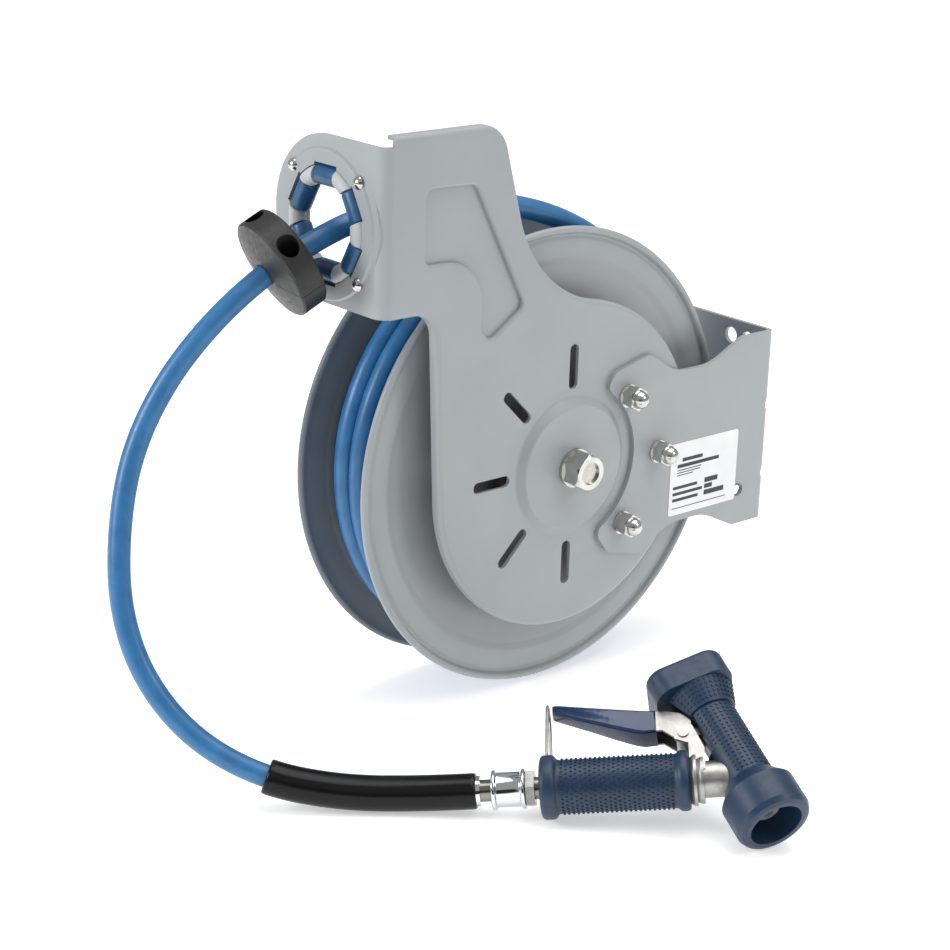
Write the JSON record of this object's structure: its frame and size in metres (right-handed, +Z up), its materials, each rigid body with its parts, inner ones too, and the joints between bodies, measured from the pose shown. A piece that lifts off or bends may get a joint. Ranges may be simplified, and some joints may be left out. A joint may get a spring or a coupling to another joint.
{
  "type": "wall-mounted spring rewind hose reel",
  "caption": "Wall-mounted spring rewind hose reel with a stamped guide arm, roller fairlead, wound hose, hose stop and a lever spray gun.",
  "frame": {"origin": "centre of the wall bolt pattern, on the wall face of the bracket", "axes": "+Z up, +Y into the wall, +X from the drum towards the guide arm and bracket"},
  "size_m": [0.4706, 0.6004, 0.4667],
  "materials": {
    "powder_coat": "satin powder coat",
    "zinc": "bright zinc plate",
    "spindle_steel": "turned steel",
    "brass": "turned brass",
    "chrome": "polished chrome plate",
    "gun_steel": "blasted stainless steel",
    "label_film": "plain printed film, blank",
    "carrier_plastic": "moulded nylon",
    "roller_plastic": "moulded blue plastic",
    "hose_blue": "smooth blue cover",
    "black_rubber": "matt black rubber",
    "gun_rubber": "matt navy rubber",
    "lever_vinyl": "glossy vinyl dip"
  },
  "bodies": {
    "frame": {"wall_bracket": "powder_coat", "guide_arm": "powder_coat", "bracket_bolts": "zinc", "bracket_lock_nuts": "zinc", "bracket_cap_nuts": "zinc", "data_label": "label_film", "spindle": "spindle_steel", "spindle_washers": "zinc", "spindle_nut": "zinc", "retaining_ring": "zinc", "inlet_elbow": "brass", "roller_carrier": "carrier_plastic", "roller_pins": "zinc", "fairlead_screws": "zinc", "spring_arbor": "spindle_steel", "pawl_pin": "zinc", "pawl_spring": "spindle_steel", "hose_lead": "hose_blue", "bumper_upper": "black_rubber", "bumper_lower": "black_rubber", "bumper_screws": "zinc", "hose_sleeve": "black_rubber", "hose_ferrule": "chrome", "hose_nipple": "gun_steel", "swivel_body": "chrome"},
    "drum": {"near_flange": "powder_coat", "far_flange": "powder_coat", "drum_core": "powder_coat", "spring_case": "powder_coat", "power_spring": "spindle_steel", "hub_bushes": "brass", "water_manifold": "brass", "manifold_seals": "black_rubber", "outlet_riser": "brass", "riser_ferrule": "zinc", "tie_bolts": "zinc", "tie_nuts": "zinc", "ratchet_wheel": "spindle_steel", "hose_wound": "hose_blue"},
    "pawl": {"pawl": "spindle_steel"},
    "gun": {"swivel_nut": "chrome", "swivel_seal": "black_rubber", "gun_body": "gun_steel", "grip_sleeve": "gun_rubber", "gun_boot": "gun_rubber", "nozzle_tip": "gun_steel", "lever_pivot": "gun_steel", "valve_spring": "gun_steel"},
    "lever": {"trigger_lever": "gun_steel", "lever_cover": "lever_vinyl"},
    "stem": {"valve_stem": "gun_steel", "valve_seal": "black_rubber"},
    "bail": {"lock_bail": "gun_steel"},
    "roller_1": {"roller_1": "roller_plastic"},
    "roller_2": {"roller_2": "roller_plastic"},
    "roller_3": {"roller_3": "roller_plastic"},
    "roller_4": {"roller_4": "roller_plastic"},
    "roller_5": {"roller_5": "roller_plastic"},
    "roller_6": {"roller_6": "roller_plastic"}
  },
  "joints": [
    {"name": "drum_spin", "type": "hinge", "parent": "frame", "child": "drum", "pos_m": [0, -0.224, 0.0055], "axis": [1, 0, 0], "continuous": true, "deforming": ["power_spring"]},
    {"name": "pawl_swing", "type": "hinge", "parent": "frame", "child": "pawl", "pos_m": [0.0395, -0.28226, -0.01571], "axis": [1, 0, 0], "range_deg": [-12, 10], "stiffness_Nm_per_rad": 0.02, "deforming": ["pawl_spring"]},
    {"name": "roller_1_spin", "type": "hinge", "parent": "frame", "child": "roller_1", "pos_m": [0.03031, -0.41, 0.226], "axis": [0.5, 0, -0.866], "continuous": true},
    {"name": "roller_2_spin", "type": "hinge", "parent": "frame", "child": "roller_2", "pos_m": [0, -0.41, 0.2435], "axis": [1, 0, 0], "continuous": true},
    {"name": "roller_3_spin", "type": "hinge", "parent": "frame", "child": "roller_3", "pos_m": [-0.03031, -0.41, 0.226], "axis": [0.5, 0, 0.866], "continuous": true},
    {"name": "roller_4_spin", "type": "hinge", "parent": "frame", "child": "roller_4", "pos_m": [-0.03031, -0.41, 0.191], "axis": [-0.5, 0, 0.866], "continuous": true},
    {"name": "roller_5_spin", "type": "hinge", "parent": "frame", "child": "roller_5", "pos_m": [0, -0.41, 0.1735], "axis": [-1, 0, 0], "continuous": true},
    {"name": "roller_6_spin", "type": "hinge", "parent": "frame", "child": "roller_6", "pos_m": [0.03031, -0.41, 0.191], "axis": [-0.5, 0, -0.866], "continuous": true},
    {"name": "gun_swivel", "type": "hinge", "parent": "frame", "child": "gun", "pos_m": [0.224, -0.387, -0.1615], "axis": [0.7015, 0.7015, 0.1253], "continuous": true},
    {"name": "lever_squeeze", "type": "hinge", "parent": "gun", "child": "lever", "pos_m": [0.27524, -0.29656, -0.13272], "axis": [0.2768, -0.4303, 0.8592], "range_deg": [0, 17], "stiffness_Nm_per_rad": 1.5, "springref_deg": -8.59},
    {"name": "stem_slide", "type": "slide", "parent": "gun", "child": "stem", "axis": [-0.8839, 0.2367, 0.4033], "range_m": [0, 0.00564], "deforming": ["valve_spring"]},
    {"name": "bail_swing", "type": "hinge", "parent": "gun", "child": "bail", "pos_m": [0.21836, -0.37427, -0.15331], "axis": [0.2768, -0.4303, 0.8592], "range_deg": [0, 75]}
  ],
  "couplings": [
    {"joint": "stem_slide", "follows": "lever_squeeze", "m_per_rad": 0.019}
  ]
}
